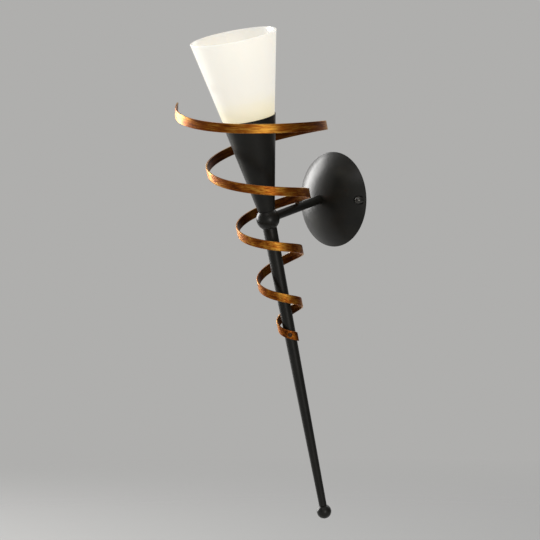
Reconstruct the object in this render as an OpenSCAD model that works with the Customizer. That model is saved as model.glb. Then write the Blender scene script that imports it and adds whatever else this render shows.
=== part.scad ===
// Torch sconce: a domed wall canopy, a slanted arm, and a leaning torch with a glass cone,
// a tapered handle and a hand-bent metal ribbon that winds down around it.
// The wall is the plane y = 0, the room is on the -Y side and +Z is up.
// Torch frame: origin in the middle of the ball, +Z up along the torch, +Y along the arm to the wall.

/* [Canopy and wall bracket] */
// Diameter of the canopy on the wall
canopy_d = 118; // [110:1:130]
// How far the dome stands out from the wall
canopy_h = 25; // [23:0.5:28]
// Thickness of the canopy's spun sheet
canopy_wall = 1.2; // [1:0.1:1.5]
// Height of the bracket strip
bracket_w = 16; // [14:0.5:18]
// Thickness of the bracket strip
bracket_t = 1.6; // [1.2:0.1:1.8]
// Distance between the two wall screw slots
slot_spacing = 72; // [68:1:74]
// Length of each wall screw slot, end to end
slot_l = 14; // [10:0.5:15]
// Width of each wall screw slot
slot_w = 4.6; // [4:0.1:5.5]
// Diameter of the supply cable hole in the bracket
cable_hole_d = 12; // [10:0.5:14]

/* [Arm and ball] */
// Length of the arm from the dome to the middle of the ball
arm_l = 88; // [75:1:105]
// Outside diameter of the arm tube
arm_d = 10.8; // [10:0.2:12]
// Lean of the torch away from the wall at the top, in degrees
tilt = 14.5; // [12:0.5:16]
// Diameter of the ball knuckle
ball_d = 28.5; // [27:0.5:31]
// Outside diameter of the threaded tubes in the arm and the torch
rod_d = 8; // [7.6:0.1:8.2]

/* [Torch cup and glass] */
// Diameter of the cup at its mouth
cup_mouth_d = 66.6; // [64:0.2:70]
// Diameter of the cup just above the ball
cup_foot_d = 21; // [20:0.2:22.5]
// Height of the cup's mouth above the middle of the ball
cup_mouth_z = 127; // [120:1:135]
// Thickness of the cup's spun sheet
cup_wall = 0.9; // [0.8:0.05:1]
// Diameter of the glass at its open top
glass_mouth_d = 106; // [98:1:114]
// Height of glass that shows above the cup
glass_show = 101; // [90:1:115]
// Thickness of the glass
glass_wall = 3; // [2.5:0.1:3.6]

/* [Handle] */
// Diameter of the handle under the ball
handle_top_d = 17.4; // [16:0.2:18.5]
// Diameter of the handle at its tip
handle_tip_d = 9.5; // [8.8:0.1:10.5]
// Distance from the ball's middle to the finial's middle
handle_l = 379; // [350:1:410]
// Thickness of the handle tube
handle_wall = 1.4; // [1.2:0.1:1.7]
// Diameter of the finial
finial_d = 18; // [16:0.5:20]

/* [Ribbon] */
// Widest radius of the ribbon around the torch
ribbon_reach = 90.5; // [84:0.5:96]
// Height from the ribbon's first bend to its last
ribbon_drop = 300.5; // [285:0.5:315]
// Width of the metal strip
ribbon_w = 11.4; // [10:0.2:13]
// Thickness of the metal strip
ribbon_t = 1.8; // [1.4:0.1:2.2]

/* [Bulb and lampholder] */
// Diameter of the candle bulb
bulb_d = 35; // [32:0.5:37]
// Outside diameter of the lampholder
holder_d = 26; // [25:0.5:28]
// Outside diameter of the bulb's screw cap
cap_d = 13.9; // [13.8:0.1:14]

/* [Hidden] */
$fn = 64;

// Fits
run_gap = 0.05;      // a screw or stud turning in its thread
free_gap = 0.3;      // a clearance hole around a shank, per side
rest_gap = 0.15;     // between two curved faces that rest on each other
cut = 1;             // how far a cutter runs past the face it cuts

// Canopy dome: a spherical cap of the given width and height
canopy_r = canopy_d / 2;
dome_r = (canopy_r * canopy_r + canopy_h * canopy_h) / (2 * canopy_h);
dome_y = dome_r - canopy_h;
inner_r = dome_r - canopy_wall;

// Bracket and the canopy's two screws, which sink into seats pressed in the dome
bracket_free = 0.4;  // from the bracket's ends to the dome
screw_edge = 3;      // from a canopy screw's axis to the bracket's end
bracket_end = sqrt(inner_r * inner_r - (dome_y + bracket_t) * (dome_y + bracket_t)) - bracket_free;
screw_x = bracket_end - screw_edge;
screw_r = 2;
screw_head_r = 5.1;
screw_head_h = 9.5;
screw_tip = 0.2;     // distance from a screw's tip to the wall
seat_r = 5.4;
seat_z = bracket_t + canopy_wall;
slot_x = slot_spacing / 2;
earth_x = 20;
earth_head_r = 3.4;
earth_head_h = 2.2;
tag_r = 3.9;
tag_t = 0.8;
tag_neck = 3.2;      // width of the tag between its ring and its barrel
tag_barrel_r = 1.5;
tag_barrel_l = 5;
tag_barrel_y = 6;    // from the earth screw down to the barrel
block_x = -18;
block_size = [18, 16, 9];
pole_pitch = 6;
pole_drop = 6.4;     // from the bracket out to the wires' axes
pole_r = 2.7;
pole_h = 11.4;
pole_hole_r = 1.4;
pole_screw_r = 1.7;
pole_screw_h = 3.2;

// Place of the ball
arm_r = arm_d / 2;
ball_r = ball_d / 2;
ball_pos = [0, -canopy_h - arm_l * cos(tilt), -arm_l * sin(tilt)];

// Threaded tubes
rod_r = rod_d / 2;
rod_bore_r = rod_r - 1.1;
rod_start = 6;       // distance from the ball's middle at which both rods begin
rod_end_z = 66;      // top of the torch rod
washer_r = 9;
washer_top = arm_l + 4.5;
lock_r = 6.6;
lock_t = 1.2;
nut_h = 5;
nut_flats = 12.5;
arm_rod_end = arm_l + 13;
arm_past = 5;        // how far the arm is drawn past the dome before it is trimmed to it
bush_in_r = 2.1;
bush_l = 3;
bush_lip = 0.2;      // how far the bush's collar stands out over the tube
bush_lip_h = 1.2;

// Torch cup
cup_mouth_r = cup_mouth_d / 2;
cup_foot_r = cup_foot_d / 2;
cup_foot_z = 11.2;
cup_edge_r = 1.6;
cup_floor_z = 16.5;
cup_washer_r = 7.5;
cup_washer_t = 1.5;
function cup_r(z) =
    cup_foot_r + (cup_mouth_r - cup_foot_r) * (z - cup_foot_z) / (cup_mouth_z - cup_foot_z);
function cup_in(z) = cup_r(z) - cup_wall;

// Glass cone, standing on a seat ring inside the cup
seat_bottom = 101;
seat_top = 104;
seat_step = 0.6;     // how far the seat ring reaches inward past the glass
glass_gap = 0.35;
glass_top_z = cup_mouth_z + glass_show;
glass_neck_r = cup_in(cup_mouth_z) - glass_gap;
glass_slope = (glass_mouth_d / 2 - glass_neck_r) / glass_show;
function glass_r(z) = glass_neck_r + glass_slope * (z - cup_mouth_z);

// Lampholder and bulb, as heights along the torch
holder_r = holder_d / 2;
holder_wall = 2;
base_z = 58;
base_floor = 3;
body_z = 70;
body_floor = 80;
body_top = 108;
cap_r = cap_d / 2;
shell_in_r = cap_r + 0.4;
shell_t = 1.1;
shell_drop = 3;      // from the lampholder's mouth down to its threaded shell
contact_size = [3, 10, 0.8];
contact_r = 1.6;
tip_z = 83.6;
tip_h = 1.6;
tip_contact_r = 2.2;
insulator_r = 2.6;
insulator_top = 87.6;
cap_top = 108.5;
cap_flare = 1.2;
cap_flare_h = 3;
bulb_top = 190;
bulb_wall = 1;
crown_wall = 4;      // glass left at the bulb's pinched-off top

// Handle and finial
finial_r = finial_d / 2;
tip_r = handle_tip_d / 2;
tip_end = handle_l - sqrt(finial_r * finial_r - tip_r * tip_r);
handle_top = 9;
handle_edge = 0.8;   // bevel at the handle's top
handle_bore_top = 26;
plug_l = 12;
handle_stud_r = 3;
handle_stud_top = 6;
handle_stud_end = 24;
finial_stud_r = 1.5;
finial_stud_in = 10;
function handle_r(d) =
    handle_top_d / 2 + (tip_r - handle_top_d / 2) * (d - handle_top) / (tip_end - handle_top);

// Ribbon: one station each half turn, from the widest left bend down to the handle.
// Each radius is a share of the reach and each height a share of the drop.
RADII = [0.92, 1, 0.68, 0.61, 0.436, 0.376, 0.298, 0.232, 0.14, 0.122];
FALLS = [-0.002, 0.141, 0.265, 0.408, 0.524, 0.637, 0.755, 0.855, 0.942, 1];
ribbon_top_z = 147;
ribbon_lead = 0.035;     // turns of ribbon before the first station
ribbon_turns = 4.43;
ribbon_start = -145.1;   // angle of the ribbon's free end around the torch
ribbon_lean = 3.25;      // each turn sinks towards the wall by this angle
ring_step = 1 / 48;      // turns between two cross sections
rivet_back = 0.145;      // turns from the ribbon's lower end to its rivet
rivet_r = 1.5;
rivet_head_r = 2.8;
rivet_head_h = 1.3;
spacer_r = 2.6;
spacer_gap = 0.35;       // between the spacer's square end and the curved strip
braze_r = 2.8;
braze_gap = 0.3;         // between the braze and the strip
ribbon_rise = 1.2;       // from the arm up to the ribbon's lower edge

// Lamp wires
wire_r = 0.8;
wire_gap = 1.15;
wire_spread = 5;
wire_in = 4;             // how far each wire runs into the lampholder's body

// Frames
module torch() {
    translate(ball_pos) rotate([tilt, 0, 0]) children();
}
module arm() {
    torch() rotate([-90, 0, 0]) children();
}
module wall() {
    rotate([90, 0, 0]) children();
}
function torch_point(p) = [
    p[0],
    ball_pos[1] + p[1] * cos(tilt) - p[2] * sin(tilt),
    ball_pos[2] + p[1] * sin(tilt) + p[2] * cos(tilt)
];
module ring(outer, inner, low, high) {
    difference() {
        translate([0, 0, low]) cylinder(r = outer, h = high - low);
        translate([0, 0, low - cut]) cylinder(r = inner, h = high - low + 2 * cut);
    }
}
module hex_nut(flats, bore, low, height) {
    difference() {
        translate([0, 0, low]) cylinder(r = flats / 2 / cos(30), h = height, $fn = 6);
        translate([0, 0, low - cut]) cylinder(r = bore, h = height + 2 * cut);
    }
}
module dome(radius) {
    translate([0, dome_y, 0]) sphere(r = radius, $fn = 240);
}
// A raised-head screw along +Z whose head begins at z = 0, with a straight driver slot
module raised_screw(head_r, head_h, shank_r, shank_l) {
    bulge = (head_r * head_r + head_h * head_h) / (2 * head_h);
    difference() {
        intersection() {
            translate([0, 0, head_h - bulge]) sphere(r = bulge);
            cylinder(r = head_r + cut, h = head_h);
        }
        translate([-head_r, -0.5, head_h - 1]) cube([2 * head_r, 1, 1 + cut]);
    }
    translate([0, 0, -shank_l]) cylinder(r = shank_r, h = shank_l);
}

// A screw along +Z with a smooth round cap, turned by hand, that begins at z = 0
module cap_screw(head_r, head_h, shank_r, shank_l) {
    intersection() {
        translate([0, 0, head_h - head_r]) sphere(r = head_r);
        translate([0, 0, head_h - head_r]) cylinder(r = head_r + cut, h = head_r + cut);
    }
    cylinder(r = head_r, h = head_h - head_r);
    translate([0, 0, -shank_l]) cylinder(r = shank_r, h = shank_l);
}

// Sweeps: cross sections joined into one closed skin
function ring_faces(n, i) = [
    for (j = [0 : n - 1]) [i * n + j, i * n + (j + 1) % n, (i + 1) * n + (j + 1) % n, (i + 1) * n + j]
];
module skin(rings) {
    n = len(rings[0]);
    last = len(rings) - 1;
    polyhedron(
        points = [for (r = rings) for (p = r) p],
        faces = concat(
            [[for (j = [n - 1 : -1 : 0]) j]],
            [for (i = [0 : last - 1]) for (f = ring_faces(n, i)) f],
            [[for (j = [0 : n - 1]) last * n + j]]
        ),
        convexity = 8
    );
}
function unit(v) = v / norm(v);
function along(pts, i) = unit(pts[min(i + 1, len(pts) - 1)] - pts[max(i - 1, 0)]);
function wire_ring(p, dir) =
    let (u = unit(cross(dir, [0.35, 0.25, 0.9])), v = cross(dir, u))
    [for (a = [0 : 45 : 315]) p + wire_r * (cos(a) * u + sin(a) * v)];
module wire(pts) {
    skin([for (i = [0 : len(pts) - 1]) wire_ring(pts[i], along(pts, i))]);
}

// ---- Wall side ----
module slot(x) {
    half = (slot_l - slot_w) / 2;
    translate([x - half, -slot_w / 2]) square([2 * half, slot_w]);
    for (s = [-1, 1]) translate([x + s * half, 0]) circle(d = slot_w);
}
module wall_bracket() {
    color("silver") wall() linear_extrude(bracket_t) difference() {
        union() {
            square([2 * bracket_end - bracket_w, bracket_w], center = true);
            for (s = [-1, 1]) translate([s * (bracket_end - bracket_w / 2), 0]) circle(d = bracket_w);
        }
        for (s = [-1, 1]) slot(s * slot_x);
        for (s = [-1, 1]) translate([s * screw_x, 0]) circle(r = screw_r + run_gap);
        circle(d = cable_hole_d);
        translate([earth_x, 0]) circle(r = screw_r);
    }
}
module earth_screw() {
    color("goldenrod") wall() translate([earth_x, 0, bracket_t + tag_t])
        raised_screw(earth_head_r, earth_head_h, screw_r, bracket_t + tag_t);
}
module earth_tag() {
    color("goldenrod") wall() translate([earth_x, 0, bracket_t]) difference() {
        union() {
            cylinder(r = tag_r, h = tag_t);
            translate([-tag_neck / 2, -tag_barrel_y - cut, 0]) cube([tag_neck, tag_barrel_y, tag_t]);
            translate([0, -tag_barrel_y, tag_barrel_r]) rotate([90, 0, 0])
                cylinder(r = tag_barrel_r, h = tag_barrel_l);
        }
        translate([0, 0, -cut]) cylinder(r = screw_r, h = tag_t + 2 * cut);
        translate([0, cut - tag_barrel_y, tag_barrel_r]) rotate([90, 0, 0])
            cylinder(r = wire_r, h = tag_barrel_l + 2 * cut);
    }
}
function pole_x(i) = block_x + (i - 1) * pole_pitch;
module terminal_block() {
    color("ivory") wall() translate([0, 0, bracket_t]) difference() {
        union() {
            translate([block_x - block_size[0] / 2, -block_size[1] / 2, 0]) cube(block_size);
            for (i = [0 : 2]) translate([pole_x(i), 0, 0]) cylinder(r = pole_r, h = pole_h);
        }
        for (i = [0 : 2]) {
            translate([pole_x(i), block_size[1] / 2 + cut, pole_drop]) rotate([90, 0, 0])
                cylinder(r = pole_hole_r, h = block_size[1] + 2 * cut);
            translate([pole_x(i), 0, pole_drop]) cylinder(r = pole_screw_r, h = pole_h);
        }
    }
}
module terminal_screws() {
    color("silver") wall() for (i = [0 : 2])
        translate([pole_x(i), 0, bracket_t + pole_drop + wire_r]) difference() {
            cylinder(r = pole_screw_r, h = pole_screw_h);
            translate([-pole_r, -free_gap, pole_screw_h - 2 * free_gap])
                cube([2 * pole_r, 2 * free_gap, cut]);
        }
}
module canopy() {
    color([0.13, 0.13, 0.12]) difference() {
        intersection() {
            union() {
                difference() {
                    wall() cylinder(r = canopy_r + cut, h = canopy_h + cut);
                    dome(inner_r);
                }
                wall() for (s = [-1, 1]) translate([s * screw_x, 0, bracket_t])
                    cylinder(r = seat_r + canopy_wall, h = canopy_h);
            }
            dome(dome_r);
        }
        wall() for (s = [-1, 1]) translate([s * screw_x, 0, 0]) {
            translate([0, 0, seat_z]) cylinder(r = seat_r, h = canopy_h);
            cylinder(r = screw_r + free_gap, h = canopy_h);
        }
        arm() translate([0, 0, arm_l - arm_past]) cylinder(r = rod_r, h = 2 * arm_past);
    }
}
module canopy_screw(s) {
    color([0.2, 0.2, 0.19]) wall() translate([s * screw_x, 0, seat_z])
        cap_screw(screw_head_r, screw_head_h, screw_r, seat_z - screw_tip);
}
module canopy_screw_left() {
    canopy_screw(-1);
}
module canopy_screw_right() {
    canopy_screw(1);
}

// ---- Arm ----
module arm_washer() {
    color("silver") difference() {
        intersection() {
            arm() translate([0, 0, arm_l - arm_past])
                cylinder(r = washer_r, h = washer_top - arm_l + arm_past);
            dome(inner_r);
        }
        arm() translate([0, 0, arm_l - arm_past]) cylinder(r = rod_r, h = 3 * arm_past);
    }
}
module arm_lock_washer() {
    color("silver") arm() ring(lock_r, rod_r, washer_top, washer_top + lock_t);
}
module arm_nut() {
    color("goldenrod") arm() hex_nut(nut_flats, rod_r, washer_top + lock_t, nut_h);
}
module arm_rod() {
    color("silver") arm() ring(rod_r, rod_bore_r, rod_start, arm_rod_end);
}
module arm_bush() {
    color("white") arm() {
        ring(rod_bore_r, bush_in_r, arm_rod_end - bush_l, arm_rod_end);
        ring(rod_r + bush_lip, bush_in_r, arm_rod_end, arm_rod_end + bush_lip_h);
    }
}
module arm_tube() {
    color([0.12, 0.12, 0.11]) difference() {
        arm() ring(arm_r, rod_r, 0, arm_l + arm_past);
        torch() sphere(r = ball_r);
        dome(dome_r);
    }
}
module ball() {
    color([0.12, 0.12, 0.11]) torch() difference() {
        sphere(r = ball_r);
        translate([0, 0, rod_start]) cylinder(r = rod_r, h = ball_r);
        translate([0, 0, -rod_bore_r]) cylinder(r = rod_bore_r, h = ball_r);
        rotate([-90, 0, 0]) cylinder(r = rod_bore_r, h = ball_r);
        rotate([-90, 0, 0]) translate([0, 0, rod_start]) cylinder(r = rod_r, h = ball_r);
        translate([0, 0, -ball_r - cut]) cylinder(r = handle_stud_r, h = ball_r + cut - handle_stud_top);
    }
}

// ---- Torch cup and lampholder ----
module torch_rod() {
    color("silver") torch() ring(rod_r, rod_bore_r, rod_start, rod_end_z);
}
module torch_cup() {
    edge = [for (a = [270 : 15 : 345]) [
        cup_foot_r - cup_edge_r + cup_edge_r * cos(a),
        cup_foot_z + cup_edge_r * sin(a)
    ]];
    outline = concat([[0, cup_foot_z - cup_edge_r]], edge, [
        [cup_foot_r, cup_foot_z],
        [cup_mouth_r, cup_mouth_z],
        [cup_in(cup_mouth_z), cup_mouth_z],
        [cup_in(cup_floor_z), cup_floor_z],
        [0, cup_floor_z]
    ]);
    color([0.12, 0.12, 0.11]) torch() difference() {
        rotate_extrude() polygon(outline);
        sphere(r = ball_r);
        cylinder(r = rod_r, h = cup_floor_z + cut);
    }
}
module cup_washer() {
    color("silver") torch() ring(cup_washer_r, rod_r, cup_floor_z, cup_floor_z + cup_washer_t);
}
module cup_nut() {
    color("goldenrod") torch() hex_nut(nut_flats, rod_r, cup_floor_z + cup_washer_t, nut_h);
}
module lampholder_base() {
    color("dimgray") torch() difference() {
        translate([0, 0, base_z]) cylinder(r = holder_r, h = body_z - base_z);
        translate([0, 0, base_z + base_floor]) cylinder(r = holder_r - holder_wall, h = body_z - base_z);
        translate([0, 0, base_z - cut]) cylinder(r = rod_r, h = base_floor + 2 * cut);
    }
}
module lampholder_body() {
    color("dimgray") torch() difference() {
        translate([0, 0, body_z]) cylinder(r = holder_r, h = body_top - body_z);
        translate([0, 0, body_floor]) cylinder(r = shell_in_r + shell_t, h = body_top - body_floor + cut);
        for (s = [-1, 1]) translate([s * wire_spread, 0, body_z - cut])
            cylinder(r = wire_r + free_gap, h = wire_in + 2 * cut);
    }
}
module lampholder_shell() {
    color("goldenrod") torch() ring(shell_in_r + shell_t, shell_in_r, body_floor, body_top - shell_drop);
}
module lampholder_contact() {
    color("goldenrod") torch() {
        translate([-contact_size[0] / 2, -contact_size[1] / 2, body_floor]) cube(contact_size);
        translate([0, 0, body_floor + contact_size[2]])
            cylinder(r = contact_r, h = tip_z - body_floor - contact_size[2]);
    }
}

// ---- Glass and bulb ----
module glass_seat() {
    inside = glass_r(seat_top) - glass_wall - seat_step;
    color("gray") torch() rotate_extrude() polygon([
        [inside, seat_bottom],
        [cup_in(seat_bottom) - rest_gap, seat_bottom],
        [cup_in(seat_top) - rest_gap, seat_top],
        [inside, seat_top]
    ]);
}
module glass_shade() {
    lip = glass_wall / 2;
    rim = [for (a = [0 : 20 : 180]) [
        glass_r(glass_top_z) - lip + lip * cos(a),
        glass_top_z - lip + lip * sin(a)
    ]];
    color([0.98, 0.96, 0.9]) torch() rotate_extrude() polygon(concat(
        [[glass_r(seat_top) - glass_wall, seat_top], [glass_r(seat_top), seat_top]],
        rim
    ));
}
module bulb_tip() {
    color("silver") torch() translate([0, 0, tip_z]) cylinder(r = tip_contact_r, h = tip_h);
}
module bulb_insulator() {
    low = tip_z + tip_h;
    color("black") torch() rotate_extrude() polygon([
        [0, low], [insulator_r, low], [cap_r - bulb_wall, insulator_top], [0, insulator_top]
    ]);
}
module bulb_cap() {
    color("silver") torch() rotate_extrude() polygon([
        [0, insulator_top], [cap_r - bulb_wall, insulator_top], [cap_r, insulator_top + bulb_wall],
        [cap_r, cap_top - cap_flare_h], [cap_r + cap_flare, cap_top], [0, cap_top]
    ]);
}
// Candle bulb: half-width at each share of the height above its cap
BULB_SHARE = [0, 0.06, 0.14, 0.25, 0.38, 0.5, 0.62, 0.74, 0.85, 0.94, 1];
BULB_WIDTH = [0.46, 0.5, 0.7, 0.9, 1, 0.98, 0.86, 0.64, 0.4, 0.2, 0.06];
module bulb_glass() {
    tall = bulb_top - cap_top;
    r = bulb_d / 2;
    outer = [for (i = [0 : len(BULB_SHARE) - 1]) [r * BULB_WIDTH[i], cap_top + tall * BULB_SHARE[i]]];
    inner = [for (i = [len(BULB_SHARE) - 2 : -1 : 0])
        [r * BULB_WIDTH[i] - bulb_wall, cap_top + (tall - 2 * bulb_wall) * BULB_SHARE[i]]];
    color([1, 0.97, 0.9]) torch() rotate_extrude()
        polygon(concat(outer, [[0, bulb_top], [0, bulb_top - crown_wall]], inner));
}

// ---- Handle ----
module handle() {
    color([0.12, 0.12, 0.11]) torch() difference() {
        rotate_extrude() polygon([
            [0, -handle_top], [handle_r(handle_top) - handle_edge, -handle_top],
            [handle_r(handle_top + handle_edge), -handle_top - handle_edge],
            [tip_r, -tip_end], [tip_r - handle_wall, -tip_end],
            [handle_r(handle_bore_top) - handle_wall, -handle_bore_top], [0, -handle_bore_top]
        ]);
        sphere(r = ball_r);
        translate([0, 0, -handle_stud_end]) cylinder(r = handle_stud_r, h = handle_stud_end);
        rivet_axis() cylinder(r = rivet_r, h = handle_top_d);
    }
}
module handle_stud() {
    color("silver") torch() translate([0, 0, -handle_stud_end])
        cylinder(r = handle_stud_r, h = handle_stud_end - handle_stud_top);
}
module tip_plug() {
    top = tip_end - plug_l;
    color("silver") torch() difference() {
        rotate_extrude() polygon([
            [0, -top], [handle_r(top) - handle_wall, -top],
            [tip_r - handle_wall, -tip_end], [0, -tip_end]
        ]);
        translate([0, 0, -tip_end - cut]) cylinder(r = finial_stud_r, h = plug_l + 2 * cut);
    }
}
module finial_stud() {
    color("silver") torch() translate([0, 0, -tip_end - finial_stud_in])
        cylinder(r = finial_stud_r, h = finial_stud_in + plug_l);
}
module finial() {
    color([0.12, 0.12, 0.11]) torch() difference() {
        translate([0, 0, -handle_l]) sphere(r = finial_r);
        translate([-finial_r, -finial_r, -tip_end]) cube([2 * finial_r, 2 * finial_r, finial_r]);
        translate([0, 0, -tip_end - finial_stud_in - free_gap])
            cylinder(r = finial_stud_r + run_gap, h = finial_stud_in + cut);
    }
}

// ---- Ribbon ----
function clamp_at(v, i) = v[max(0, min(len(v) - 1, i))];
function reach_at(v, i) =
    i < 0 ? 2 * v[0] - v[1] : i > len(v) - 1 ? 2 * v[len(v) - 1] - v[len(v) - 2] : v[i];
// Smooth curve through the stations
function curve(v, x) =
    let (i = max(0, min(len(v) - 2, floor(x))), t = x - i,
         a = reach_at(v, i - 1), b = clamp_at(v, i), c = clamp_at(v, i + 1), d = reach_at(v, i + 2))
    0.5 * (2 * b + (c - a) * t + (2 * a - 5 * b + 4 * c - d) * t * t + (3 * b - a - 3 * c + d) * t * t * t);
function ribbon_r(turn) = ribbon_reach * curve(RADII, 2 * (turn - ribbon_lead));
function ribbon_angle(turn) = ribbon_start + 360 * turn;
function ribbon_z_at(turn) =
    ribbon_top_z - ribbon_drop * curve(FALLS, 2 * (turn - ribbon_lead))
    - ribbon_r(turn) * tan(ribbon_lean) * sin(ribbon_angle(turn));
function ribbon_z(turn) = ribbon_z_at(turn) + ribbon_lift;
function strip_corner(turn, side, up) =
    let (r = ribbon_r(turn) + side * ribbon_t / 2, a = ribbon_angle(turn))
    [r * cos(a), r * sin(a), ribbon_z(turn) + up * ribbon_w / 2];
function strip_section(turn) = [
    strip_corner(turn, 1, 1), strip_corner(turn, -1, 1),
    strip_corner(turn, -1, -1), strip_corner(turn, 1, -1)
];
// The second turn crosses just above the arm, where it is brazed on
arm_turn = (90 - ribbon_start) / 360 + 1;
ribbon_lift = arm_r + ribbon_rise + ribbon_w / 2 - ribbon_z_at(arm_turn);
rivet_turn = ribbon_turns - rivet_back;
module rivet_axis() {
    translate([0, 0, ribbon_z(rivet_turn)]) rotate([0, 0, ribbon_angle(rivet_turn)])
        rotate([0, 90, 0]) children();
}
module strip() {
    steps = ceil(ribbon_turns / ring_step);
    skin([for (i = [0 : steps]) strip_section(ribbon_turns * i / steps)]);
}
module ribbon() {
    color([0.6, 0.36, 0.14]) torch() difference() {
        strip();
        rivet_axis() cylinder(r = rivet_r, h = ribbon_reach);
    }
}
module ribbon_spacer() {
    from = handle_r(-ribbon_z(rivet_turn));
    color([0.5, 0.3, 0.12]) torch() difference() {
        rivet_axis() ring(spacer_r, rivet_r, from - cut, ribbon_r(rivet_turn) - ribbon_t / 2 - spacer_gap);
        rotate_extrude() polygon([
            [0, -handle_top], [handle_r(handle_top), -handle_top], [tip_r, -tip_end], [0, -tip_end]
        ]);
    }
}
module ribbon_rivet() {
    from = handle_r(-ribbon_z(rivet_turn)) - handle_wall;
    head = ribbon_r(rivet_turn) + ribbon_t / 2 + rest_gap;
    bulge = (rivet_head_r * rivet_head_r + rivet_head_h * rivet_head_h) / (2 * rivet_head_h);
    color([0.6, 0.36, 0.14]) torch() rivet_axis() {
        translate([0, 0, from]) cylinder(r = rivet_r, h = head - from + rivet_head_h / 2);
        translate([0, 0, head]) intersection() {
            translate([0, 0, rivet_head_h - bulge]) sphere(r = bulge);
            cylinder(r = rivet_head_r, h = rivet_head_h);
        }
    }
}
// A saddle of braze under the strip and up both its faces where it crosses the arm
module ribbon_braze() {
    y = ribbon_r(arm_turn);
    ahead = strip_corner(arm_turn + 0.01, 0, 0) - strip_corner(arm_turn - 0.01, 0, 0);
    heading = atan(ahead[1] / ahead[0]);
    pitch = atan(ahead[2] * cos(heading) / ahead[0]);
    room = ribbon_t + 2 * braze_gap;
    color([0.5, 0.3, 0.12]) torch() difference() {
        translate([0, y, arm_r]) sphere(r = braze_r);
        rotate([-90, 0, 0]) cylinder(r = arm_r, h = arm_l);
        translate([0, y, arm_r + ribbon_rise]) rotate([0, -pitch, heading])
            translate([-2 * braze_r, -room / 2, -braze_gap])
                cube([4 * braze_r, room, ribbon_w]);
    }
}

// ---- Lamp wires, inside the canopy, arm, ball and cup ----
mouth = arm_rod_end + bush_lip_h;
function lamp_route(s) = let (pole = pole_x(s < 0 ? 1 : 0), rise = 2 * s) concat(
    [
        [pole, -bracket_t - pole_drop, 4],
        [pole, -bracket_t - pole_drop, 9],
        [pole + 1, -7.5, 14 + rise],
        [pole + 5, -6.5, 17 + rise],
        [-7, -6, 17 + rise],
        [s - 2, -6, 14 + rise],
        [s * wire_gap, -6, 11],
        [s * wire_gap, -7.3, 6.5]
    ],
    [for (y = [mouth, arm_l / 2, 8, 4]) torch_point([s * wire_gap, y, 0])],
    [torch_point([s * wire_gap, 1.2, 1.2])],
    [for (z = [4, 8, 30, rod_end_z - 2, rod_end_z]) torch_point([s * wire_gap, 0, z])],
    [torch_point([s * (wire_gap + wire_spread) / 2, 0, rod_end_z + 2])],
    [for (z = [body_z, body_z + wire_in]) torch_point([s * wire_spread, 0, z])]
);
module wire_live() {
    color("saddlebrown") wire(lamp_route(-1));
}
module wire_neutral() {
    color("royalblue") wire(lamp_route(1));
}
module wire_earth() {
    color("yellowgreen") wire([
        [pole_x(2), -bracket_t - pole_drop, -4],
        [pole_x(2), -bracket_t - pole_drop, -9],
        [-9, -7, -13],
        [-3, -6, -16],
        [6, -5, -18],
        [13, -4, -18],
        [18, -3.4, -15.5],
        [earth_x, -bracket_t - 1.5, -11.5],
        [earth_x, -bracket_t - 1.5, -7]
    ]);
}

wall_bracket();
earth_screw();
earth_tag();
terminal_block();
terminal_screws();
canopy();
canopy_screw_left();
canopy_screw_right();
arm_washer();
arm_lock_washer();
arm_nut();
arm_rod();
arm_bush();
arm_tube();
ball();
torch_rod();
torch_cup();
cup_washer();
cup_nut();
lampholder_base();
lampholder_body();
lampholder_shell();
lampholder_contact();
glass_seat();
glass_shade();
bulb_tip();
bulb_insulator();
bulb_cap();
bulb_glass();
handle();
handle_stud();
tip_plug();
finial_stud();
finial();
ribbon();
ribbon_spacer();
ribbon_rivet();
ribbon_braze();
wire_live();
wire_neutral();
wire_earth();
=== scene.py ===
import math

import bpy
from mathutils import Matrix, Vector


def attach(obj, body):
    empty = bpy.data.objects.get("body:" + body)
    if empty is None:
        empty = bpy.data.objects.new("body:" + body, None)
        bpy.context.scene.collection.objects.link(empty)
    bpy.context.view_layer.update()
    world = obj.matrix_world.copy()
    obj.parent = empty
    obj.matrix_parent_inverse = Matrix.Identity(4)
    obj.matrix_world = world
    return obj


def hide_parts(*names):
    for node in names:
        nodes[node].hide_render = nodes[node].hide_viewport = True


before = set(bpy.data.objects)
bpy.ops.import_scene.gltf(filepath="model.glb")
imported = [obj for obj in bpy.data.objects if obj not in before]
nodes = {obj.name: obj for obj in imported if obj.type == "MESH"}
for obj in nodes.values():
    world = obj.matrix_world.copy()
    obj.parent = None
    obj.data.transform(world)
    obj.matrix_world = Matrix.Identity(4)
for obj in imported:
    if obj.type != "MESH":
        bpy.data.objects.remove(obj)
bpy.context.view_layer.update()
mm = 0.001  # sizes of the pieces are in millimetres
weldDistance = 0.000002

# The torch's frame: the middle of the ball, and the lean
torch = {"lean": 14.5, "armReach": 88, "domeHeight": 25, "rodR": 4}
leanAngle = math.radians(torch["lean"])
ballPlace = Vector((
    0,
    -torch["domeHeight"] - torch["armReach"] * math.cos(leanAngle),
    -torch["armReach"] * math.sin(leanAngle),
)) * mm


def deselect():
    if bpy.context.mode != "OBJECT":
        bpy.ops.object.mode_set(mode="OBJECT")
    bpy.ops.object.select_all(action="DESELECT")


def pick(piece):
    deselect()
    piece.select_set(True)
    bpy.context.view_layer.objects.active = piece


def arc(middle, radius, start, end, steps):  # angles in degrees
    points = []
    for i in range(steps + 1):
        a = math.radians(start + (end - start) * i / steps)
        points.append((middle[0] + radius * math.cos(a), middle[1] + radius * math.sin(a)))
    return points


def between(first, last, steps):
    return [
        (first[0] + (last[0] - first[0]) * i / steps, first[1] + (last[1] - first[1]) * i / steps)
        for i in range(steps + 1)
    ]


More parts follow.
